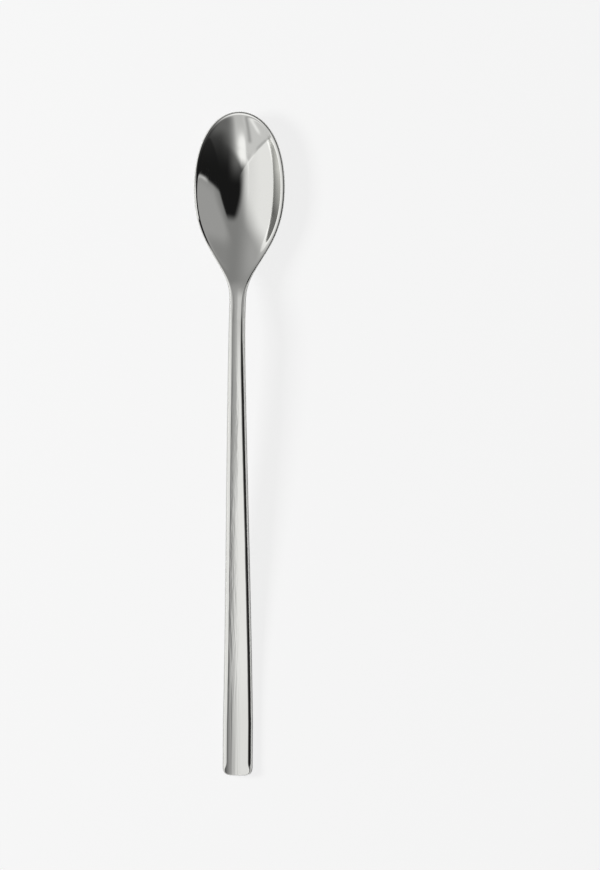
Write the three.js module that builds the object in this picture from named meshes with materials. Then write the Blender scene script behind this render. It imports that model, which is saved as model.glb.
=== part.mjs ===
// A long-handled latte teaspoon, stamped and formed from one blank of stainless steel.
// Millimetres. X runs across the spoon, Y along it with the tip of the bowl at +Y, and Z is up from
// the table that the spoon lies on. The origin is on the table, under the middle of the spoon.
import * as THREE from 'three';

// Plan outline, with stations measured from the tip of the bowl
const OVERALL_LENGTH = 200;
const BOWL_WIDTH = 27.5;
const BOWL_WIDEST_AT = 22.8;
const TIP_FULLNESS = 0.18; // 0 gives the tip a true half ellipse, more makes it blunter
const SHOULDER_POWER = 4; // more draws the shoulders in sooner
const NECK_AT = 58.8;
const NECK_WIDTH = 5;
const NECK_EASE = 15; // length over which the neck eases into the taper of the handle
const HANDLE_WIDTH = 9.1;
const PARALLEL_LENGTH = 16; // stretch at the end of the handle where its sides are parallel
const END_ROUND = 4; // length over which the corners of the end are drawn in
const END_SQUARENESS = 4; // 2 gives an elliptical end, more a squarer one

// Bowl section: a dished sheet with a level land round the hollow
const BOWL_DEPTH = 6.6;
const BOWL_WALL = 1.3;
const RIM_LAND = 0.95;
const RIM_EDGE = 0.9; // height of the outer edge below the land
const RIM_ROUND = 0.35;
const RIM_SOFTNESS = 0.25; // how softly the hollow turns into the land
const BOWL_FULLNESS = 0.32; // 0 gives the hollow a plain paraboloid, more makes its two ends fuller
const TIP_LIFT = 0.8; // rise of the rim from the middle of the bowl to its tip

// Handle section: a faintly dished face, a back that is level in the middle, and rounded sides
const NECK_THICKNESS = 4;
const HANDLE_THICKNESS = 3.4;
const DISH_SLOPE = 0.105; // slope of the face where it meets the rounded sides
const SIDE_ROUND = 1.35;
const BACK_FLAT = 2; // width of the level strip along the back, on which the handle lies
const BACK_CROWN = 0.12; // rise of the back from that strip to its sides
const END_EDGE_ROUND = 0.4;

// Side profile: the neck climbs from the rim to an arch, then the handle falls to lie on the table
const ARCH_HEIGHT = 13.6;
const CLIMB_FROM = 34;
const CLIMB_TO = 74;
const FALL_FROM = 60;
const REST_LENGTH = 13; // level stretch at the end of the handle

// Stations between which the dished sheet of the bowl becomes the solid bar of the handle
const SHOULDER_FROM = 40;
const SHOULDER_TO = 64;

// Fineness: ribs along each side of the spoon, and steps along the section of a rib
const TIP_RIBS = 14;
const BOWL_RIBS = 22;
const HANDLE_RIBS = 26;
const END_RIBS = 9;
const FACE_STEPS = 10;
const EDGE_STEPS = 4;
const BACK_STEPS = 8;

const { clamp, smoothstep, smootherstep, lerp } = THREE.MathUtils;

// Values that follow from the sizes above
const bowlHalf = BOWL_WIDTH / 2;
const neckHalf = NECK_WIDTH / 2;
const hollowHalf = bowlHalf - RIM_LAND;
const hollowFront = BOWL_WIDEST_AT - RIM_LAND;
const rimHeight = BOWL_DEPTH + BOWL_WALL;
const parallelFrom = OVERALL_LENGTH - PARALLEL_LENGTH;
const restFrom = OVERALL_LENGTH - REST_LENGTH;
const endFrom = OVERALL_LENGTH - END_ROUND;

// Plan outline

// Squared half width of a blunt half ellipse, at a share of its length ahead of its widest station.
// Past the tip the value turns negative, so a surface built on it runs on smoothly.
function bluntEllipse(half, ahead) {
  return half ** 2 * (1 - ahead ** 2) * (1 + TIP_FULLNESS * ahead ** 2);
}

// The handle tapers straight from the neck to its parallel end, with an eased start.
function handleHalf(station) {
  const eased = (past) => (past < NECK_EASE ? past ** 2 / (2 * NECK_EASE) : past - NECK_EASE / 2);
  const run = eased(Math.max(station - NECK_AT, 0)) / eased(parallelFrom - NECK_AT);
  return lerp(neckHalf, HANDLE_WIDTH / 2, Math.min(run, 1));
}

// The shoulders flow from the widest station into the neck. Their curvature at the widest station is
// that of the tip's ellipse, so the outline, and what the steel mirrors, bends without a break.
function shoulderHalf(station) {
  const length = NECK_AT - BOWL_WIDEST_AT;
  const swell = bowlHalf - neckHalf;
  const curvature = (bowlHalf * (1 - TIP_FULLNESS)) / BOWL_WIDEST_AT ** 2;
  const bend = (curvature * length ** 2) / (2 * SHOULDER_POWER * swell);
  const along = clamp((station - BOWL_WIDEST_AT) / length, 0, 1);
  const left = 1 - bend * along ** 2 - (1 - bend) * along ** 4;
  return handleHalf(station) + swell * left ** SHOULDER_POWER;
}

// Squared half width of the whole spoon, before the corners of its end are drawn in
function bodySquared(station) {
  const ahead = (BOWL_WIDEST_AT - station) / BOWL_WIDEST_AT;
  return ahead > 0 ? bluntEllipse(bowlHalf, ahead) : shoulderHalf(station) ** 2;
}

// How far the section at a station has changed from bowl (0) to handle (1)
function handleShare(station) {
  return smootherstep(station, SHOULDER_FROM, SHOULDER_TO);
}

// Squared half width of the line that bounds the hollow of the bowl, and the handle's face behind it
function hollowSquared(station) {
  const ahead = (BOWL_WIDEST_AT - station) / hollowFront;
  const inset = lerp(RIM_LAND, SIDE_ROUND, handleShare(station));
  return ahead > 0 ? bluntEllipse(hollowHalf, ahead) : (shoulderHalf(station) - inset) ** 2;
}

// Side profile

// Height of the bowl's rim, and of the edge of the handle's face that carries on from it
function edgeHeight(station) {
  const ahead = Math.max((BOWL_WIDEST_AT - station) / BOWL_WIDEST_AT, 0);
  const climb = (ARCH_HEIGHT - rimHeight) * smootherstep(station, CLIMB_FROM, CLIMB_TO);
  const fall = (ARCH_HEIGHT - HANDLE_THICKNESS) * smoothstep(station, FALL_FROM, restFrom);
  return rimHeight + TIP_LIFT * ahead ** 3 + climb - fall;
}

// Height of the outer edge: the thin rim swells into the sides of the neck and the handle.
function edgeThickness(station) {
  const thinned = smoothstep(station, SHOULDER_TO, restFrom);
  const side = lerp(NECK_THICKNESS, HANDLE_THICKNESS, thinned);
  return lerp(RIM_EDGE, side, handleShare(station));
}

// Upper surface: the hollow of the bowl and its land, then the dished face of the handle
function faceHeight(x, station) {
  const share = handleShare(station);
  const bound = hollowSquared(station);
  const past = x ** 2 - bound;
  const full = 1 + BOWL_FULLNESS * (1 - bound / hollowHalf ** 2);
  const cup = (BOWL_DEPTH / hollowHalf ** 2) * past * full;
  const hollow = (cup - Math.hypot(cup, RIM_SOFTNESS)) / 2;
  const dish = share > 0 ? (DISH_SLOPE / 2) * (past / Math.sqrt(bound)) : 0;
  return edgeHeight(station) + (1 - share) * hollow + share * dish;
}

// Lower surface: the belly of the bowl, then the faintly crowned back of the handle
function backHeight(x, station) {
  const share = handleShare(station);
  const body = bodySquared(station);
  const full = 1 + BOWL_FULLNESS * (1 - body / bowlHalf ** 2);
  const belly = ((rimHeight - RIM_EDGE) / bowlHalf ** 2) * (body - x ** 2) * full;
  const beside = Math.max(Math.abs(x) - BACK_FLAT / 2, 0);
  const crown = share > 0 ? BACK_CROWN * (beside / (Math.sqrt(body) - BACK_FLAT / 2)) ** 2 : 0;
  return edgeHeight(station) - edgeThickness(station) - (1 - share) * belly + share * crown;
}

// Ribs: each runs in plan from a root on the middle line out to the outline

// Round the tip the ribs fan out square to the outline, from roots drawn in by the tip's own radius.
function tipRibs() {
  const tipRadius = (bowlHalf ** 2 * (1 + TIP_FULLNESS)) / BOWL_WIDEST_AT;
  const fan = 1 - tipRadius / BOWL_WIDEST_AT;
  return Array.from({ length: TIP_RIBS }, (_, rib) => {
    const station = BOWL_WIDEST_AT * (1 - Math.cos(((rib / TIP_RIBS) * Math.PI) / 2));
    return { station, half: Math.sqrt(bodySquared(station)), root: lerp(BOWL_WIDEST_AT, station, fan) };
  });
}

function sideRibs(from, to, count) {
  return Array.from({ length: count }, (_, rib) => {
    const station = lerp(from, to, rib / count);
    return { station, half: shoulderHalf(station), root: station };
  });
}

// Round the end the ribs fan out again, to a squared-off ellipse.
function endRibs() {
  const fan = 0.2;
  return Array.from({ length: END_RIBS + 1 }, (_, rib) => {
    const turn = ((rib / END_RIBS) * Math.PI) / 2;
    const station = endFrom + END_ROUND * Math.sin(turn) ** (2 / END_SQUARENESS);
    const half = rib < END_RIBS ? handleHalf(station) * Math.cos(turn) ** (2 / END_SQUARENESS) : 0;
    return { station, half, root: lerp(endFrom, station, fan) };
  });
}

// The section of a rib goes out along the face, round the edge and home along the back.
function ribSection({ station, half, root }) {
  const length = Math.hypot(half, station - root);
  const share = handleShare(station);
  const side = lerp(SIDE_ROUND, END_EDGE_ROUND, smootherstep(station, endFrom, OVERALL_LENGTH));
  const round = Math.min(lerp(RIM_ROUND, side, share), length / 2);
  const land = Math.max(lerp(RIM_LAND, 0, share), 1.2 * round);
  const drop = edgeThickness(station) / 2;
  const points = [];
  const put = (inset, height, shift) => {
    const out = 1 - inset / length;
    const x = half * out;
    const along = lerp(root, station, out);
    points.push([x, OVERALL_LENGTH / 2 - along, height(x, along) + shift]);
  };
  const faceEnd = Math.min(1.4 * land, (length + land) / 2);
  for (let step = 0; step <= FACE_STEPS; step += 1) {
    put(lerp(length, faceEnd, step / FACE_STEPS), faceHeight, 0);
  }
  put((land + round) / 2, faceHeight, 0);
  for (let step = 0; step <= EDGE_STEPS; step += 1) {
    const turn = ((step / EDGE_STEPS) * Math.PI) / 2;
    put(round * (1 - Math.sin(turn)), faceHeight, -drop * (1 - Math.cos(turn)));
  }
  for (let step = EDGE_STEPS - 1; step >= 0; step -= 1) {
    const turn = ((step / EDGE_STEPS) * Math.PI) / 2;
    put(round * (1 - Math.sin(turn)), backHeight, drop * (1 - Math.cos(turn)));
  }
  for (let step = 1; step <= BACK_STEPS; step += 1) {
    put(lerp(round, length, step / BACK_STEPS), backHeight, 0);
  }
  return points;
}

// The solid is a loft from rib to rib, once round the outline. Both ends of a rib lie on the middle
// line, so a rib on the left shares them with its twin on the right.
function spoonGeometry() {
  const ribs = [
    ...tipRibs(),
    ...sideRibs(BOWL_WIDEST_AT, SHOULDER_TO, BOWL_RIBS),
    ...sideRibs(SHOULDER_TO, endFrom, HANDLE_RIBS),
    ...endRibs(),
  ];
  const sections = ribs.map(ribSection);
  const last = sections[0].length - 1;
  const positions = [];
  const addPoint = ([x, y, z]) => positions.push(x, y, z) / 3 - 1;
  const right = sections.map((section) => section.map(addPoint));
  const left = sections.slice(1, -1).map((section, rib) => section.map(([x, y, z], step) => {
    const onMiddleLine = step === 0 || step === last;
    return onMiddleLine ? right[rib + 1][step] : addPoint([-x, y, z]);
  }));
  const round = [...right, ...left.reverse()];
  const triangles = [];
  round.forEach((rib, index) => {
    const next = round[(index + 1) % round.length];
    for (let step = 0; step < last; step += 1) {
      triangles.push(rib[step], next[step], next[step + 1]);
      triangles.push(rib[step], next[step + 1], rib[step + 1]);
    }
  });
  const geometry = new THREE.BufferGeometry();
  geometry.setAttribute('position', new THREE.Float32BufferAttribute(positions, 3));
  geometry.setIndex(triangles);
  geometry.computeVertexNormals();
  return geometry;
}

const polishedSteel = new THREE.MeshStandardMaterial({
  name: 'polished_stainless_steel',
  color: 0xc8c8c6,
  metalness: 1,
  roughness: 0.06,
});

const spoon = new THREE.Mesh(spoonGeometry(), polishedSteel);
spoon.name = 'spoon';

const latteTeaspoon = new THREE.Group();
latteTeaspoon.name = 'latte_teaspoon';
latteTeaspoon.add(spoon);

export default latteTeaspoon;
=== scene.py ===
# A long-handled latte teaspoon, lying on a pale table and seen from above.
# Sizes are in millimetres, and MM turns them into the metres of the scene. X runs across the spoon,
# Y along it with the tip of the bowl at +Y, and Z is up from the table.
import math

import bpy
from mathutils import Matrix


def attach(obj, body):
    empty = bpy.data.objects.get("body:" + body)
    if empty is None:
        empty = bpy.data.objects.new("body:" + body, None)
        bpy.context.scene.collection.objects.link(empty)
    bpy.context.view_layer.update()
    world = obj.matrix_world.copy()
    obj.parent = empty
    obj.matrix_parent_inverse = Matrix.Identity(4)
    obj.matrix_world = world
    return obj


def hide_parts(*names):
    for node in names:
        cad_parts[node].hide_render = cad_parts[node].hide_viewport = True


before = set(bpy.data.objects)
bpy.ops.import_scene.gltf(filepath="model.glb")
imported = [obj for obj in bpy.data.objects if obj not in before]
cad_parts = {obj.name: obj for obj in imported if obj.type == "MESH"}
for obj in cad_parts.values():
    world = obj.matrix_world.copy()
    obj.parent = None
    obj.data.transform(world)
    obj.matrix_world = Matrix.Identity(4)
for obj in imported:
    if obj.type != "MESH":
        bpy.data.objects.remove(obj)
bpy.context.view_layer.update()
MM = 0.001

# The blank: the flat outline that the spoon is stamped out in, from a strip of stainless steel.
# Bowl, shoulders, neck and handle are one continuous line. The blank has a face and a back, and its
# ribs run from the middle line out to the edge, so that the press can shape it smoothly.
OVERALL_LENGTH = 200
BOWL_WIDTH = 27.5
BOWL_WIDEST_AT = 22.8  # stations are measured from the tip of the bowl
TIP_FULLNESS = 0.18
SHOULDER_POWER = 4
NECK_AT = 58.8
NECK_WIDTH = 5
NECK_EASE = 15
HANDLE_WIDTH = 9.1
PARALLEL_LENGTH = 16
END_ROUND = 4
END_SQUARENESS = 4
END_EDGE_ROUND = 0.4
SHOULDER_FROM = 40  # the section changes from bowl to handle over the shoulders
SHOULDER_TO = 64
RIM_LAND = 0.95
RIM_ROUND = 0.35
SIDE_ROUND = 1.35


def lerp(start, end, share):
    return start + (end - start) * share


def smootherstep(value, start, end):
    share = min(max((value - start) / (end - start), 0), 1)
    return share ** 3 * (share * (share * 6 - 15) + 10)


def blunt_ellipse(half, ahead):
    return half ** 2 * (1 - ahead ** 2) * (1 + TIP_FULLNESS * ahead ** 2)


def handle_half(station):
    def eased(past):
        return past ** 2 / (2 * NECK_EASE) if past < NECK_EASE else past - NECK_EASE / 2

    taper = eased(OVERALL_LENGTH - PARALLEL_LENGTH - NECK_AT)
    return lerp(NECK_WIDTH / 2, HANDLE_WIDTH / 2, min(eased(max(station - NECK_AT, 0)) / taper, 1))


def shoulder_half(station):
    length = NECK_AT - BOWL_WIDEST_AT
    swell = (BOWL_WIDTH - NECK_WIDTH) / 2
    curvature = BOWL_WIDTH / 2 * (1 - TIP_FULLNESS) / BOWL_WIDEST_AT ** 2
    bend = curvature * length ** 2 / (2 * SHOULDER_POWER * swell)
    along = min(max((station - BOWL_WIDEST_AT) / length, 0), 1)
    left = 1 - bend * along ** 2 - (1 - bend) * along ** 4
    return handle_half(station) + swell * left ** SHOULDER_POWER


def outline_squared(station):
    ahead = (BOWL_WIDEST_AT - station) / BOWL_WIDEST_AT
    return blunt_ellipse(BOWL_WIDTH / 2, ahead) if ahead > 0 else shoulder_half(station) ** 2


def handle_share(station):
    return smootherstep(station, SHOULDER_FROM, SHOULDER_TO)


def hollow_squared(station):
    ahead = (BOWL_WIDEST_AT - station) / (BOWL_WIDEST_AT - RIM_LAND)
    if ahead > 0:
        return blunt_ellipse(BOWL_WIDTH / 2 - RIM_LAND, ahead)
    return (shoulder_half(station) - lerp(RIM_LAND, SIDE_ROUND, handle_share(station))) ** 2


TIP_RIBS = 64
BOWL_RIBS = 110
HANDLE_RIBS = 200
END_RIBS = 28
FACE_STEPS = 34
LAND_STEPS = 8
EDGE_STEPS = 10
BACK_STEPS = 20
LAND_REACH = 1.6  # the finer land steps reach in over so many rim lands,
EDGE_REACH = 1.4  # or so many edge rounds where that is more
END_ROOT_SHARE = 0.2  # how far the roots of the end's ribs go out with them

ribs = []
tip_radius = (BOWL_WIDTH / 2) ** 2 * (1 + TIP_FULLNESS) / BOWL_WIDEST_AT
for rib in range(TIP_RIBS):
    station = BOWL_WIDEST_AT * (1 - math.cos(rib / TIP_RIBS * math.pi / 2))
    root = lerp(BOWL_WIDEST_AT, station, 1 - tip_radius / BOWL_WIDEST_AT)
    ribs.append((station, math.sqrt(max(outline_squared(station), 0)), root))
end_from = OVERALL_LENGTH - END_ROUND
runs = ((BOWL_WIDEST_AT, SHOULDER_TO, BOWL_RIBS), (SHOULDER_TO, end_from, HANDLE_RIBS))
for start, stop, count in runs:
    for rib in range(count):
        station = lerp(start, stop, rib / count)
        ribs.append((station, shoulder_half(station), station))
for rib in range(END_RIBS + 1):
    turn = rib / END_RIBS * math.pi / 2
    station = end_from + END_ROUND * math.sin(turn) ** (2 / END_SQUARENESS)
    half = handle_half(station) * math.cos(turn) ** (2 / END_SQUARENESS) if rib < END_RIBS else 0
    ribs.append((station, half, lerp(end_from, station, END_ROOT_SHARE)))

points, drops, backs, outlines, hollows = [], [], [], [], []


def rib_line(station, half, root, side):
    length = math.hypot(half, station - root)
    share = handle_share(station)
    edge_round = lerp(SIDE_ROUND, END_EDGE_ROUND, smootherstep(station, end_from, OVERALL_LENGTH))
    edge_round = min(lerp(RIM_ROUND, edge_round, share), length / 2)
    land = max(LAND_REACH * lerp(RIM_LAND, 0, share), EDGE_REACH * edge_round)
    land = min(land, (length + edge_round) / 2)
    insets = [(lerp(length, land, step / FACE_STEPS), 0) for step in range(FACE_STEPS)]
    insets += [(lerp(land, edge_round, step / LAND_STEPS), 0) for step in range(LAND_STEPS)]
    turns = [step / EDGE_STEPS * math.pi / 2 for step in range(EDGE_STEPS + 1)]
    rim = [(edge_round * (1 - math.sin(turn)), 1 - math.cos(turn)) for turn in turns]
    home = [(lerp(edge_round, length, step / BACK_STEPS), 0) for step in range(1, BACK_STEPS + 1)]
    faced = [(*place, 0) for place in insets + rim]
    backed = [(*place, 1) for place in rim[-2::-1] + home]
    line = []
    for inset, drop, back in faced + backed:
        out = 1 - inset / length
        along = lerp(root, station, out)
        line.append(len(points))
        points.append((side * half * out * MM, (OVERALL_LENGTH / 2 - along) * MM, 0))
        drops.append(drop)
        backs.append(back)
        outlines.append(outline_squared(along) * MM ** 2)
        hollows.append(hollow_squared(along) * MM ** 2)
    return line


right = [rib_line(*rib, 1) for rib in ribs]
left = [rib_line(*rib, -1) for rib in ribs[1:-1]]
for line, twin in zip(left, right[1:-1]):
    line[0], line[-1] = twin[0], twin[-1]
around = right + left[::-1]
faces = []
for line, next_line in zip(around, around[1:] + around[:1]):
    for step in range(len(line) - 1):
        corners = (line[step], next_line[step], next_line[step + 1], line[step + 1])
        faces.append(tuple(dict.fromkeys(corners)))
blank_mesh = bpy.data.meshes.new("spoon_blank")
blank_mesh.from_pydata(points, [], faces)
for name, values in (("drop", drops), ("back", backs), ("outline", outlines), ("hollow", hollows)):
    blank_mesh.attributes.new(name, "FLOAT", "POINT").data.foreach_set("value", values)
blank = bpy.data.objects.new("spoon_blank", blank_mesh)
bpy.context.scene.collection.objects.link(blank)

# The spoon: the blank pressed between dies, its edges ground and buffed round. The bowl is a dished
# sheet with a level land round its hollow. The neck climbs from it to an arch, and the handle, a bar
# with a dished face, a crowned back and round sides, falls from there to lie on the table.
BOWL_DEPTH = 6.6
BOWL_WALL = 1.3
RIM_EDGE = 0.9
RIM_SOFTNESS = 0.25
RIM_HEIGHT = BOWL_DEPTH + BOWL_WALL
HOLLOW_HALF = BOWL_WIDTH / 2 - RIM_LAND
FULLNESS = 0.32
TIP_LIFT = 0.8
ARCH_HEIGHT = 13.6
CLIMB_FROM = 34
CLIMB_TO = 74
FALL_FROM = 60
REST_LENGTH = 13
NECK_THICKNESS = 4
HANDLE_THICKNESS = 3.4
DISH_SLOPE = 0.105
LEAST_HALF = 1  # of the hollow, so that the dish isn't divided by zero at the tip
BACK_FLAT = 2
BACK_CROWN = 0.12
press_sizes = {
    "Tip at": OVERALL_LENGTH / 2 * MM,
    "Bowl widest at": BOWL_WIDEST_AT * MM,
    "Rim height": RIM_HEIGHT * MM,
    "Rim edge": RIM_EDGE * MM,
    "Rim softness": RIM_SOFTNESS * MM,
    "Tip lift": TIP_LIFT * MM,
    "Bowl depth": BOWL_DEPTH * MM,
    "Hollow half": HOLLOW_HALF * MM,
    "Belly drop": (RIM_HEIGHT - RIM_EDGE) * MM,
    "Bowl half": BOWL_WIDTH / 2 * MM,
    "Fullness": FULLNESS,
    "Shoulder from": SHOULDER_FROM * MM,
    "Shoulder to": SHOULDER_TO * MM,
    "Climb": (ARCH_HEIGHT - RIM_HEIGHT) * MM,
    "Climb from": CLIMB_FROM * MM,
    "Climb to": CLIMB_TO * MM,
    "Fall": (ARCH_HEIGHT - HANDLE_THICKNESS) * MM,
    "Fall from": FALL_FROM * MM,
    "Rest from": (OVERALL_LENGTH - REST_LENGTH) * MM,
    "Neck thickness": NECK_THICKNESS * MM,
    "Handle thickness": HANDLE_THICKNESS * MM,
    "Dish slope": DISH_SLOPE,
    "Back flat": BACK_FLAT * MM,
    "Back crown": BACK_CROWN * MM,
}


def add(tree, kind, inputs=None, **settings):
    node = tree.nodes.new(kind)
    for name, value in settings.items():
        setattr(node, name, value)
    for socket, value in (inputs or {}).items():
        if isinstance(value, bpy.types.Node):
            value = value.outputs[0]
        if isinstance(value, bpy.types.NodeSocket):
            tree.links.new(value, node.inputs[socket])
        else:
            node.inputs[socket].default_value = value
    return node


press = bpy.data.node_groups.new("spoon_press", "GeometryNodeTree")
press.interface.new_socket("Blank", in_out="INPUT", socket_type="NodeSocketGeometry")
press_inputs = {
    name: press.interface.new_socket(name, in_out="INPUT", socket_type="NodeSocketFloat").identifier
    for name in press_sizes
}
press.interface.new_socket("Spoon", in_out="OUTPUT", socket_type="NodeSocketGeometry")
size = add(press, "NodeGroupInput").outputs
place = add(press, "ShaderNodeSeparateXYZ", {0: add(press, "GeometryNodeInputPosition")})
station = add(press, "ShaderNodeMath", {
    0: size["Tip at"], 1: place.outputs["Y"],
}, operation="SUBTRACT")
share = add(press, "ShaderNodeMapRange", {
    "Value": station, "From Min": size["Shoulder from"], "From Max": size["Shoulder to"],
}, interpolation_type="SMOOTHERSTEP")

climb = add(press, "ShaderNodeMapRange", {
    "Value": station, "From Min": size["Climb from"], "From Max": size["Climb to"],
    "To Max": size["Climb"],
}, interpolation_type="SMOOTHERSTEP")
fall = add(press, "ShaderNodeMapRange", {
    "Value": station, "From Min": size["Fall from"], "From Max": size["Rest from"],
    "To Max": size["Fall"],
}, interpolation_type="SMOOTHSTEP")
ahead = add(press, "ShaderNodeMapRange", {
    "Value": station, "From Min": size["Bowl widest at"], "From Max": 0,
})
ahead_cubed = add(press, "ShaderNodeMath", {0: ahead, 1: 3}, operation="POWER")
rim = add(press, "ShaderNodeMath", {
    0: ahead_cubed, 1: size["Tip lift"], 2: size["Rim height"],
}, operation="MULTIPLY_ADD")
risen = add(press, "ShaderNodeMath", {0: rim, 1: climb}, operation="ADD")
edge = add(press, "ShaderNodeMath", {0: risen, 1: fall}, operation="SUBTRACT")

across_squared = add(press, "ShaderNodeMath", {
    0: place.outputs["X"], 1: place.outputs["X"],
}, operation="MULTIPLY")
hollow = add(press, "GeometryNodeInputNamedAttribute", {"Name": "hollow"}, data_type="FLOAT")
past = add(press, "ShaderNodeMath", {0: across_squared, 1: hollow}, operation="SUBTRACT")
widest_hollow = add(press, "ShaderNodeMath", {
    0: size["Hollow half"], 1: size["Hollow half"],
}, operation="MULTIPLY")
hollow_width = add(press, "ShaderNodeMath", {0: hollow, 1: widest_hollow}, operation="DIVIDE")
hollow_full = add(press, "ShaderNodeMapRange", {
    "Value": hollow_width, "From Min": 1, "From Max": 0, "To Min": 1,
    "To Max": add(press, "ShaderNodeMath", {0: size["Fullness"], 1: 1}, operation="ADD"),
}, clamp=False)
past_wide = add(press, "ShaderNodeMath", {0: past, 1: widest_hollow}, operation="DIVIDE")
sunk = add(press, "ShaderNodeMath", {0: past_wide, 1: size["Bowl depth"]}, operation="MULTIPLY")
cup = add(press, "ShaderNodeMath", {0: sunk, 1: hollow_full}, operation="MULTIPLY")
cup_and_land = add(press, "ShaderNodeCombineXYZ", {"X": cup, "Y": size["Rim softness"]})
softened = add(press, "ShaderNodeVectorMath", {0: cup_and_land}, operation="LENGTH")
twice = add(press, "ShaderNodeMath", {
    0: cup, 1: softened.outputs["Value"],
}, operation="SUBTRACT")
bowl_face = add(press, "ShaderNodeMath", {0: twice, 1: 0.5}, operation="MULTIPLY")
line_squared = add(press, "ShaderNodeMath", {
    0: hollow, 1: (LEAST_HALF * MM) ** 2,
}, operation="MAXIMUM")
line_half = add(press, "ShaderNodeMath", {0: line_squared}, operation="SQRT")
past_share = add(press, "ShaderNodeMath", {0: past, 1: line_half}, operation="DIVIDE")
half_slope = add(press, "ShaderNodeMath", {0: size["Dish slope"], 1: 0.5}, operation="MULTIPLY")
dish = add(press, "ShaderNodeMath", {0: past_share, 1: half_slope}, operation="MULTIPLY")
face_form = add(press, "ShaderNodeMix", {0: share, 2: bowl_face, 3: dish})
face = add(press, "ShaderNodeMath", {0: edge, 1: face_form}, operation="ADD")

bar = add(press, "ShaderNodeMapRange", {
    "Value": station, "From Min": size["Shoulder to"], "From Max": size["Rest from"],
    "To Min": size["Neck thickness"], "To Max": size["Handle thickness"],
}, interpolation_type="SMOOTHSTEP")
side = add(press, "ShaderNodeMix", {0: share, 2: size["Rim edge"], 3: bar})
outline = add(press, "GeometryNodeInputNamedAttribute", {"Name": "outline"}, data_type="FLOAT")
inside = add(press, "ShaderNodeMath", {0: outline, 1: across_squared}, operation="SUBTRACT")
widest_bowl = add(press, "ShaderNodeMath", {
    0: size["Bowl half"], 1: size["Bowl half"],
}, operation="MULTIPLY")
outline_width = add(press, "ShaderNodeMath", {0: outline, 1: widest_bowl}, operation="DIVIDE")
belly_full = add(press, "ShaderNodeMapRange", {
    "Value": outline_width, "From Min": 1, "From Max": 0, "To Min": 1,
    "To Max": add(press, "ShaderNodeMath", {0: size["Fullness"], 1: 1}, operation="ADD"),
}, clamp=False)
inside_wide = add(press, "ShaderNodeMath", {0: inside, 1: widest_bowl}, operation="DIVIDE")
hung = add(press, "ShaderNodeMath", {0: inside_wide, 1: size["Belly drop"]}, operation="MULTIPLY")
belly = add(press, "ShaderNodeMath", {0: hung, 1: belly_full}, operation="MULTIPLY")
aside = add(press, "ShaderNodeMath", {0: place.outputs["X"]}, operation="ABSOLUTE")
outline_half = add(press, "ShaderNodeMath", {0: outline}, operation="SQRT")
flat_half = add(press, "ShaderNodeMath", {0: size["Back flat"], 1: 0.5}, operation="MULTIPLY")
beside = add(press, "ShaderNodeMapRange", {
    "Value": aside, "From Min": flat_half, "From Max": outline_half,
})
beside_squared = add(press, "ShaderNodeMath", {0: beside, 1: 2}, operation="POWER")
crown = add(press, "ShaderNodeMath", {
    0: beside_squared, 1: size["Back crown"],
}, operation="MULTIPLY")
uncrowned = add(press, "ShaderNodeMath", {0: side, 1: crown}, operation="SUBTRACT")
bowl_below = add(press, "ShaderNodeMath", {0: side, 1: belly}, operation="ADD")
below = add(press, "ShaderNodeMix", {0: share, 2: bowl_below, 3: uncrowned})
back = add(press, "ShaderNodeMath", {0: edge, 1: below}, operation="SUBTRACT")

half_side = add(press, "ShaderNodeMath", {0: side, 1: 0.5}, operation="MULTIPLY")
drop = add(press, "GeometryNodeInputNamedAttribute", {"Name": "drop"}, data_type="FLOAT")
rounding = add(press, "ShaderNodeMath", {0: drop, 1: half_side}, operation="MULTIPLY")
face_rounded = add(press, "ShaderNodeMath", {0: face, 1: rounding}, operation="SUBTRACT")
back_rounded = add(press, "ShaderNodeMath", {0: back, 1: rounding}, operation="ADD")
on_back = add(press, "GeometryNodeInputNamedAttribute", {"Name": "back"}, data_type="FLOAT")
height = add(press, "ShaderNodeMix", {0: on_back, 2: face_rounded, 3: back_rounded})
pressed_place = add(press, "ShaderNodeCombineXYZ", {
    "X": place.outputs["X"], "Y": place.outputs["Y"], "Z": height,
})
pressed = add(press, "GeometryNodeSetPosition", {
    "Geometry": size["Blank"], "Position": pressed_place,
})
smooth = add(press, "GeometryNodeSetShadeSmooth", {"Geometry": pressed, "Shade Smooth": True})
realized = add(press, "GeometryNodeRealizeInstances", {"Geometry": smooth})

# Stainless steel, buffed to a mirror: a neutral grey metal that shows its surroundings sharply, with a
# trace of haze. The handle is buffed lengthwise, which leaves faint lines along it that draw what it
# mirrors out into streaks. The bowl is buffed on a round mop and has none.
STEEL_HEX = "#CECECB"
LINE_LENGTH = 60
LINE_SPACING = 0.7
LINE_RELIEF = 0.025
LINE_DETAIL = 3
LINES_FROM = 50  # along the spoon, ahead of its middle
LINES_FULL = 25
LINE_LOW, LINE_HIGH = 0.3, 0.75  # the range that most of the noise is in
HAZE_LOW, HAZE_HIGH = 0.03, 0.075


def linear(colour):
    parts = [int(colour[at:at + 2], 16) / 255 for at in (1, 3, 5)]
    bent = [part / 12.92 if part <= 0.04045 else ((part + 0.055) / 1.055) ** 2.4 for part in parts]
    return (*bent, 1)


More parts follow.
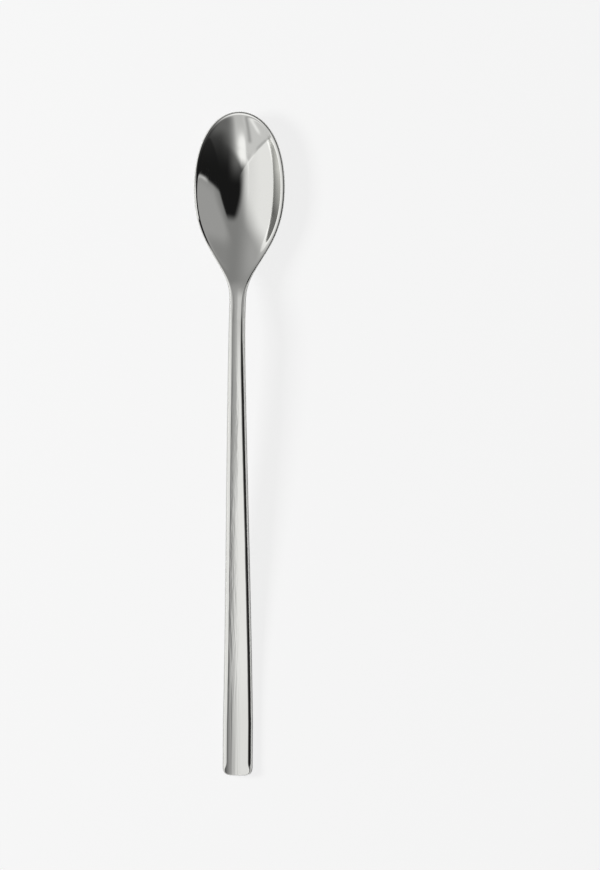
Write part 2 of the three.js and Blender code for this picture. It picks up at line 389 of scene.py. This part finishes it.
steel = bpy.data.materials.new("stainless_steel_mirror_buffed")
steel.use_nodes = True
steel_tree = steel.node_tree
shader = steel_tree.nodes["Principled BSDF"]
shader.inputs["Base Color"].default_value = linear(STEEL_HEX)
shader.inputs["Metallic"].default_value = 1
object_place = add(steel_tree, "ShaderNodeTexCoord").outputs["Object"]
along_spoon = add(steel_tree, "ShaderNodeMapping", {
    "Vector": object_place, "Scale": (1, LINE_SPACING / LINE_LENGTH, 1),
})
lines = add(steel_tree, "ShaderNodeTexNoise", {
    "Vector": along_spoon, "Scale": 1 / (LINE_SPACING * MM), "Detail": LINE_DETAIL,
}, noise_dimensions="3D")
steel_place = add(steel_tree, "ShaderNodeSeparateXYZ", {0: object_place})
on_handle = add(steel_tree, "ShaderNodeMapRange", {
    "Value": steel_place.outputs["Y"], "From Min": LINES_FROM * MM, "From Max": LINES_FULL * MM,
})
relief = add(steel_tree, "ShaderNodeBump", {
    "Strength": on_handle, "Distance": LINE_RELIEF * MM, "Height": lines,
})
steel_tree.links.new(relief.outputs[0], shader.inputs["Normal"])
haze = add(steel_tree, "ShaderNodeMapRange", {
    "Value": lines, "From Min": LINE_LOW, "From Max": LINE_HIGH,
    "To Min": HAZE_LOW, "To Max": HAZE_HIGH,
})
steel_tree.links.new(haze.outputs[0], shader.inputs["Roughness"])

coated = add(press, "GeometryNodeSetMaterial", {"Geometry": realized, "Material": steel})
add(press, "NodeGroupOutput", {"Spoon": coated})

modifier = blank.modifiers.new("press", "NODES")
modifier.node_group = press
for name, value in press_sizes.items():
    modifier[press_inputs[name]] = value
graph = bpy.context.evaluated_depsgraph_get()
spoon_mesh = bpy.data.meshes.new_from_object(blank.evaluated_get(graph), depsgraph=graph)
spoon_mesh.name = "latte_teaspoon"
spoon = bpy.data.objects.new("latte_teaspoon", spoon_mesh)
bpy.context.scene.collection.objects.link(spoon)
bpy.data.objects.remove(blank)
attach(spoon, "root")
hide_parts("spoon")

# The table: a plain sweep of matt white laminate, which shows as an even pale ground. It takes a soft
# shadow from the spoon, and the steel mirrors it. Away from the spoon it runs evenly into the backdrop,
# so that no horizon shows.
TABLE_HEX = "#F6F6F6"
TABLE_HALF = 6000
EVEN_FROM = 200  # how far from the spoon the even ground begins to cover the shadows,
EVEN_TO = 800  # and where it covers them all
EVEN_NEAR = 0.9
EVEN_MIRRORED = 0.15
reach = TABLE_HALF * MM
floor_corners = [(-reach, -reach, 0), (reach, -reach, 0), (reach, reach, 0), (-reach, reach, 0)]
floor_mesh = bpy.data.meshes.new("table")
floor_mesh.from_pydata(floor_corners, [], [(0, 1, 2, 3)])
floor = bpy.data.objects.new("table", floor_mesh)
bpy.context.scene.collection.objects.link(floor)
laminate = bpy.data.materials.new("matt_white_laminate")
laminate.use_nodes = True
laminate_tree = laminate.node_tree
lit = laminate_tree.nodes["Principled BSDF"]
lit.inputs["Base Color"].default_value = linear(TABLE_HEX)
lit.inputs["Roughness"].default_value = 1
lit.inputs["Specular IOR Level"].default_value = 0
even = add(laminate_tree, "ShaderNodeEmission", {"Color": linear(TABLE_HEX), "Strength": 1})
table_ray = add(laminate_tree, "ShaderNodeLightPath").outputs
mirrored = add(laminate_tree, "ShaderNodeMath", {
    0: table_ray["Is Glossy Ray"], 1: table_ray["Is Transmission Ray"],
}, operation="MAXIMUM")
mirrored_even = add(laminate_tree, "ShaderNodeMath", {
    0: mirrored, 1: EVEN_MIRRORED,
}, operation="MULTIPLY")
table_place = add(laminate_tree, "ShaderNodeTexCoord").outputs["Object"]
away = add(laminate_tree, "ShaderNodeVectorMath", {0: table_place}, operation="LENGTH")
seen_even = add(laminate_tree, "ShaderNodeMapRange", {
    "Value": away.outputs["Value"], "From Min": EVEN_FROM * MM, "From Max": EVEN_TO * MM,
    "To Min": EVEN_NEAR, "To Max": 1,
}, interpolation_type="SMOOTHSTEP")
even_share = add(laminate_tree, "ShaderNodeMath", {
    0: table_ray["Is Camera Ray"], 1: seen_even, 2: mirrored_even,
}, operation="MULTIPLY_ADD")
table_mix = add(laminate_tree, "ShaderNodeMixShader", {0: even_share, 1: lit, 2: even})
add(laminate_tree, "ShaderNodeOutputMaterial", {"Surface": table_mix}, is_active_output=True)
floor_mesh.materials.append(laminate)

# The tent: a dome of white cloth round the spoon, which only the steel sees. A softbox leans over its
# left with a sheet below, a lamp shines through its front, a black flag hangs overhead and to the
# right, and a grey board stands behind that. All are glow painted onto the dome, light and shade too.
TENT_RADIUS = 3000
TENT_RINGS = 160
TENT_SPOKES = 480
CLOTH_LEFT, CLOTH_RIGHT = 0.53, 0.33  # glows are shares of full white
FLAG_GLOW = 0.014
FLAG_FRONT = 0.17
FLAG_LAMP_SPILL = 0.42
FLAG_UNDER_SPILL = 0.14
BOARD_NEAR, BOARD_FAR = 0.49, 0.36
BOARD_FOOT_HIGHLIGHT = 0.6
LAMP_GLOW = 1.42
SOFTBOX_RIGHT, SOFTBOX_LEFT = 1.1, 1.22
SHEET_GLOW = 0.87
SHEET_FOLD_SHADE = 0.55
SHEET_STREAK = 1.25
SEAM_HIGHLIGHT = 0.25
SKIRT_LEFT = 0.35
SKIRT_RIGHT = 0.45

# Places on the tent are given as the bowl sees them, flattened so that 0 is overhead and 1 is level with
# the table: right and back are positive. A straight edge is a point on it and the way that it faces.
SCREEN_EDGE = (0.557, -0.229), (0.82, 0.572)
FLAG_EDGE = (0.143, 0.223), (0.724, -0.69)
BOARD_EDGE = (0.286, 0.2), (0.656, 0.755)
BOARD_FOOT = (0.486, 0.048), (0.193, 0.981)
SOFTBOX_TOP = (-0.429, 0.293), (-0.53, -0.848)
SEAM = (-0.43, -0.2), (-0.375, 0.927)
STREAK = (-0.5, -0.72), (0.879, 0.477)


def soft(value, start, end):
    share = min(max((value - start) / (end - start), 0), 1)
    return share ** 2 * (3 - 2 * share)


def ridge(distance, width):
    return math.exp(-(distance / width) ** 2)


def past_edge(edge, across, back):
    point, facing = edge
    return (across - point[0]) * facing[0] + (back - point[1]) * facing[1]


def cloth_and_flag(across, back):
    cloth = lerp(CLOTH_LEFT, CLOTH_RIGHT, soft(across, -0.5, 0.08))
    # Painted light on the flag: its front is painted lit, more so beside the lamp and under its front
    # edge, with painted shade where a screen holds that light back.
    front = FLAG_FRONT * lerp(1, 0.38, soft(across, 0.2, 0.5) * soft(back, -0.68, -0.38))
    front += FLAG_LAMP_SPILL / (1 + (max(across, 0) / 0.11) ** 3)
    screened = lerp(1, 0.35, soft(past_edge(SCREEN_EDGE, across, back), -0.01, 0.03))
    shade = FLAG_GLOW + front * soft(back, -0.03, -0.6) * screened
    shade += FLAG_UNDER_SPILL * soft(back, 0.02, -0.13) * soft(across, 0.3, 0.05)
    flag = soft(back, 0.25, 0.17) * soft(past_edge(FLAG_EDGE, across, back), -0.1, 0.02)
    return lerp(cloth, shade, flag)


def with_board(glow, across, back):
    inner = past_edge(BOARD_EDGE, across, back)
    lower = past_edge(BOARD_FOOT, across, back)
    board = soft(inner, -0.015, 0.015) * soft(lower, -0.012, 0.012) * soft(across, 0.1, 0.4)
    grey = lerp(BOARD_NEAR, BOARD_FAR, soft(back, 0.36, 0.56))
    # Painted shade darkens the board near its edges, and a painted highlight runs along its foot.
    grey *= lerp(0.65, 1, soft(min(inner, lower + 0.06), 0, 0.13))
    return lerp(glow, grey, board) + BOARD_FOOT_HIGHLIGHT * ridge(lower, 0.01) * soft(across, 0.66, 0.76)


def with_lamp(glow, across, back):
    aside = (across + 0.1) / (0.15 if across > -0.1 else 0.12)
    ahead = max(-0.286 - back, 0) / 0.195
    lean = back + (0.5 if across > -0.05 else 0.2) * (across + 0.05)
    return lerp(glow, LAMP_GLOW, soft(lean, -0.06, -0.17) / (1 + math.hypot(aside, ahead) ** 4))


def with_softbox(glow, across, back):
    top = past_edge(SOFTBOX_TOP, across, back)
    seam = past_edge(SEAM, across, back)
    softbox = soft(across, 0.015, -0.25) * soft(top, -0.17, 0.14) * soft(seam, -0.006, 0.006)
    return lerp(glow, lerp(SOFTBOX_RIGHT, SOFTBOX_LEFT, soft(across, -0.2, -0.6)), softbox)


def with_sheet(glow, across, back):
    seam = past_edge(SEAM, across, back)
    sheet = soft(seam, 0.006, -0.006) * soft(across, -0.15, -0.25) * soft(back, -0.1, -0.2)
    # Painted shade: the sheet is darker along a fold.
    fold = ridge(across + 0.31, 0.06) * soft(back, -0.29, -0.36)
    glow = lerp(glow, lerp(SHEET_GLOW, SHEET_FOLD_SHADE, fold), sheet)
    streak = ridge(past_edge(STREAK, across, back), 0.05) * soft(back, -0.42, -0.56)
    glow = lerp(glow, SHEET_STREAK, sheet * streak)
    # Painted shade: a darker band just under the seam, then a painted highlight along the seam.
    glow *= lerp(1, 0.7, sheet * ridge(seam + 0.02, 0.02) * soft(across, -0.42, -0.55))
    lit_seam = ridge(seam, 0.016) * soft(across, -0.16, -0.24) * soft(across, -0.45, -0.33)
    return glow + SEAM_HIGHLIGHT * lit_seam


def with_skirt(glow, across, back):
    low = math.hypot(across, back)
    glow += SKIRT_LEFT * soft(low, 0.88, 0.91) * soft(across, -0.5, -0.7) * soft(back, -0.42, -0.34)
    return lerp(glow, SKIRT_RIGHT, soft(low, 0.84, 0.95) * soft(across, 0.2, 0.6))


def show_to_steel_only(piece):
    piece.visible_camera = False
    piece.visible_diffuse = False
    piece.visible_shadow = False


tent_points, tent_glows = [], []
for ring in range(TENT_RINGS + 1):
    for spoke in range(TENT_SPOKES):
        rise = ring / TENT_RINGS * math.pi / 2
        bearing = spoke / TENT_SPOKES * 2 * math.pi
        point = (
            TENT_RADIUS * math.sin(rise) * math.cos(bearing),
            TENT_RADIUS * math.sin(rise) * math.sin(bearing),
            TENT_RADIUS * math.cos(rise),
        )
        tent_points.append([part * MM for part in point])
        flat = 1 / (TENT_RADIUS + point[2])
        plan = point[0] * flat, point[1] * flat
        glow = cloth_and_flag(*plan)
        for with_piece in (with_board, with_lamp, with_softbox, with_sheet, with_skirt):
            glow = with_piece(glow, *plan)
        tent_glows += [glow] * 3 + [1]
tent_faces = []
for ring in range(TENT_RINGS):
    for spoke in range(TENT_SPOKES):
        here, there = spoke, (spoke + 1) % TENT_SPOKES
        upper, under = ring * TENT_SPOKES, (ring + 1) * TENT_SPOKES
        tent_faces.append((upper + here, upper + there, under + there, under + here))
tent_mesh = bpy.data.meshes.new("light_tent")
tent_mesh.from_pydata(tent_points, [], tent_faces)
tent_mesh.attributes.new("glow", "FLOAT_COLOR", "POINT").data.foreach_set("color", tent_glows)
tent_cloth = bpy.data.materials.new("painted_tent_glow")
tent_cloth.use_nodes = True
cloth_tree = tent_cloth.node_tree
cloth_glow = add(cloth_tree, "ShaderNodeAttribute", attribute_name="glow")
cloth_light = add(cloth_tree, "ShaderNodeEmission", {"Color": cloth_glow})
add(cloth_tree, "ShaderNodeOutputMaterial", {"Surface": cloth_light}, is_active_output=True)
tent_mesh.materials.append(tent_cloth)
tent = bpy.data.objects.new("light_tent", tent_mesh)
bpy.context.scene.collection.objects.link(tent)
show_to_steel_only(tent)

# Three gridded lamps hang close over the spoon: a long strip light over the handle, a small lamp turned
# to the neck, and one over the left rim that the bowl mirrors twice, as a lens along its right rim. The
# honeycomb grid of each hides its light at a slant, so the bowl doesn't mirror it elsewhere.
STRIP_AT = (0, 0, 60)
STRIP_GLOW = 1.25
STRIP_END_GLOW = 1.15
STRIP_LIT_TO = -10  # across: the light is full to here and falls away beyond
STRIP_END_LIT_TO = -10.8
STRIP_FALL = 9
NECK_LAMP_AT = (-6.6, 67, 60)
NECK_LAMP_TURN = (math.radians(-27), math.radians(-8))
NECK_RIGHT_GLOW = 0.38
NECK_MIDDLE_GLOW = 0.24
NECK_LEFT_GLOW = 0.27
HANDLE_LEFT_GLOW = 0.6
THROAT_GLOW = 0.47
RIM_LAMP_AT = (-14, 77, 30)
RIM_LAMP_TURN = (math.radians(4), math.radians(-6))
RIM_FRONT_GLOW = 1.35
RIM_BACK_GLOW = 0.44


def neck_glow(x, y):
    left = lerp(HANDLE_LEFT_GLOW, NECK_LEFT_GLOW, soft(y, 0, 50))
    return NECK_RIGHT_GLOW + NECK_MIDDLE_GLOW * soft(x, 4, -6) + left * soft(x, -5.5, -9.5)


def strip_light(x, y):
    fade = soft(y, -74, -90)
    beyond = max(x - lerp(STRIP_LIT_TO, STRIP_END_LIT_TO, fade), 0)
    handle_glow = lerp(STRIP_GLOW, STRIP_END_GLOW, fade) / (1 + (beyond / STRIP_FALL) ** 3)
    right_end = lerp(8, 12, soft(y, 10, 30))
    cover = soft(x, right_end, right_end - 9) * soft(x, -40, -25) * soft(y, 60, 50)
    return lerp(handle_glow, neck_glow(x, y), soft(y, -40, 0)), cover


def neck_light(x, y):
    x += NECK_LAMP_AT[0]
    y += NECK_LAMP_AT[1]
    cover = soft(x, 10, 6) * soft(x, -22, -18) * soft(y, 48, 56) * soft(y, 86, 78)
    return lerp(neck_glow(x, y), THROAT_GLOW, soft(y, 72, 80)), cover


def rim_light(x, y):
    x += RIM_LAMP_AT[0]
    y += RIM_LAMP_AT[1]
    cover = soft(x, -16.8, -15.8) * soft(y, 84, 81)
    glow = lerp(RIM_FRONT_GLOW, RIM_BACK_GLOW, soft(y, 76.8, 80.8))
    return glow * lerp(0.55, 1.2, soft(x, -14.8, -13)), cover


def gridded_lamp(name, light, place, turn, left, right, front, back, slant_lit, slant_dark):
    columns = right - left
    rows = (back - front) // 2
    corners, glows = [], []
    for column in range(columns + 1):
        for row in range(rows + 1):
            x = lerp(left, right, column / columns)
            y = lerp(front, back, row / rows)
            glow, cover = light(x, y)
            corners.append((x * MM, y * MM, 0))
            glows += [glow] * 3 + [cover]
    stride = rows + 1
    cells = []
    for column in range(columns):
        for row in range(rows):
            corner = column * stride + row
            cells.append((corner, corner + 1, corner + stride + 1, corner + stride))
    mesh = bpy.data.meshes.new(name)
    mesh.from_pydata(corners, [], cells)
    mesh.attributes.new("glow", "FLOAT_COLOR", "POINT").data.foreach_set("color", glows)
    grid = bpy.data.materials.new(name + "_grid")
    grid.use_nodes = True
    tree = grid.node_tree
    slant = add(tree, "ShaderNodeLayerWeight", {"Blend": 0.5}).outputs["Facing"]
    open_cells = add(tree, "ShaderNodeMapRange", {
        "Value": slant, "From Min": slant_lit, "From Max": slant_dark, "To Min": 1, "To Max": 0,
    }, interpolation_type="SMOOTHSTEP")
    glow = add(tree, "ShaderNodeAttribute", attribute_name="glow")
    lit_cells = add(tree, "ShaderNodeMath", {
        0: open_cells, 1: glow.outputs["Alpha"],
    }, operation="MULTIPLY")
    bulb = add(tree, "ShaderNodeEmission", {"Color": glow})
    dark_cells = add(tree, "ShaderNodeBsdfTransparent")
    lamp_face = add(tree, "ShaderNodeMixShader", {0: lit_cells, 1: dark_cells, 2: bulb})
    add(tree, "ShaderNodeOutputMaterial", {"Surface": lamp_face}, is_active_output=True)
    mesh.materials.append(grid)
    panel = bpy.data.objects.new(name, mesh)
    panel.location = [part * MM for part in place]
    panel.rotation_euler = (*turn, 0)
    bpy.context.scene.collection.objects.link(panel)
    show_to_steel_only(panel)


gridded_lamp(
    "strip_light", strip_light, STRIP_AT, turn=(0, 0),
    left=-40, right=20, front=-150, back=62, slant_lit=0.05, slant_dark=0.17,
)
gridded_lamp(
    "neck_lamp", neck_light, NECK_LAMP_AT, NECK_LAMP_TURN,
    left=-20, right=20, front=-26, back=26, slant_lit=0.022, slant_dark=0.044,
)
gridded_lamp(
    "rim_lamp", rim_light, RIM_LAMP_AT, RIM_LAMP_TURN,
    left=-3, right=3, front=-8, back=8, slant_lit=0.055, slant_dark=0.085,
)

# The light on the table: a dim even sky, and a square key lamp on the left that gives the spoon its soft
# shadow. To the camera and the steel the sky is as pale as the table, and the key lamp is hidden.
SKY_LIGHT = 0.25
KEY_POWER = 15  # in watts
KEY_SIZE = 350
KEY_AT = (-850, 100, 800)
KEY_TURN = math.radians(-46.7)
world = bpy.data.worlds.new("studio")
bpy.context.scene.world = world
world.use_nodes = True
world_tree = world.node_tree
background = world_tree.nodes["Background"]
background.inputs["Color"].default_value = linear(TABLE_HEX)
sky_ray = add(world_tree, "ShaderNodeLightPath").outputs
seen_or_mirrored = add(world_tree, "ShaderNodeMath", {
    0: sky_ray["Is Camera Ray"], 1: sky_ray["Is Glossy Ray"],
}, operation="MAXIMUM")
seen_at_all = add(world_tree, "ShaderNodeMath", {
    0: seen_or_mirrored, 1: sky_ray["Is Transmission Ray"],
}, operation="MAXIMUM")
sky = add(world_tree, "ShaderNodeMapRange", {"Value": seen_at_all, "To Min": SKY_LIGHT, "To Max": 1})
world_tree.links.new(sky.outputs[0], background.inputs["Strength"])
key_light = bpy.data.lights.new("key", "AREA")
key_light.energy = KEY_POWER
key_light.size = KEY_SIZE * MM
key = bpy.data.objects.new("key", key_light)
key.location = [part * MM for part in KEY_AT]
key.rotation_euler = (0, KEY_TURN, 0)
key.visible_glossy = False
key.visible_camera = False
bpy.context.scene.collection.objects.link(key)

# The camera: a long lens high over the table, a little to the right of the spoon and tilted to match. It
# looks past the spoon's right, so that the spoon lies in the left of the picture.
PICTURE_HEIGHT = 261.3  # as it lies at the middle of the picture
PICTURE_MIDDLE = (18.9, 2.9, 8)
LENS = 250
SENSOR = 36
TILT = math.radians(5.9)
ROLL = math.radians(0.38)
SEES_TO = 20000
distance = PICTURE_HEIGHT * LENS / SENSOR
camera = bpy.data.objects.new("camera", bpy.data.cameras.new("camera"))
camera.data.lens = LENS
camera.data.sensor_fit = "VERTICAL"
camera.data.sensor_height = SENSOR
camera.data.clip_end = SEES_TO * MM
camera.location = (
    (PICTURE_MIDDLE[0] + distance * math.sin(TILT)) * MM,
    PICTURE_MIDDLE[1] * MM,
    (PICTURE_MIDDLE[2] + distance * math.cos(TILT)) * MM,
)
camera.rotation_mode = "ZYX"
camera.rotation_euler = (0, TILT, ROLL)
bpy.context.scene.collection.objects.link(camera)
bpy.context.scene.camera = camera
bpy.context.scene.view_settings.view_transform = "Standard"
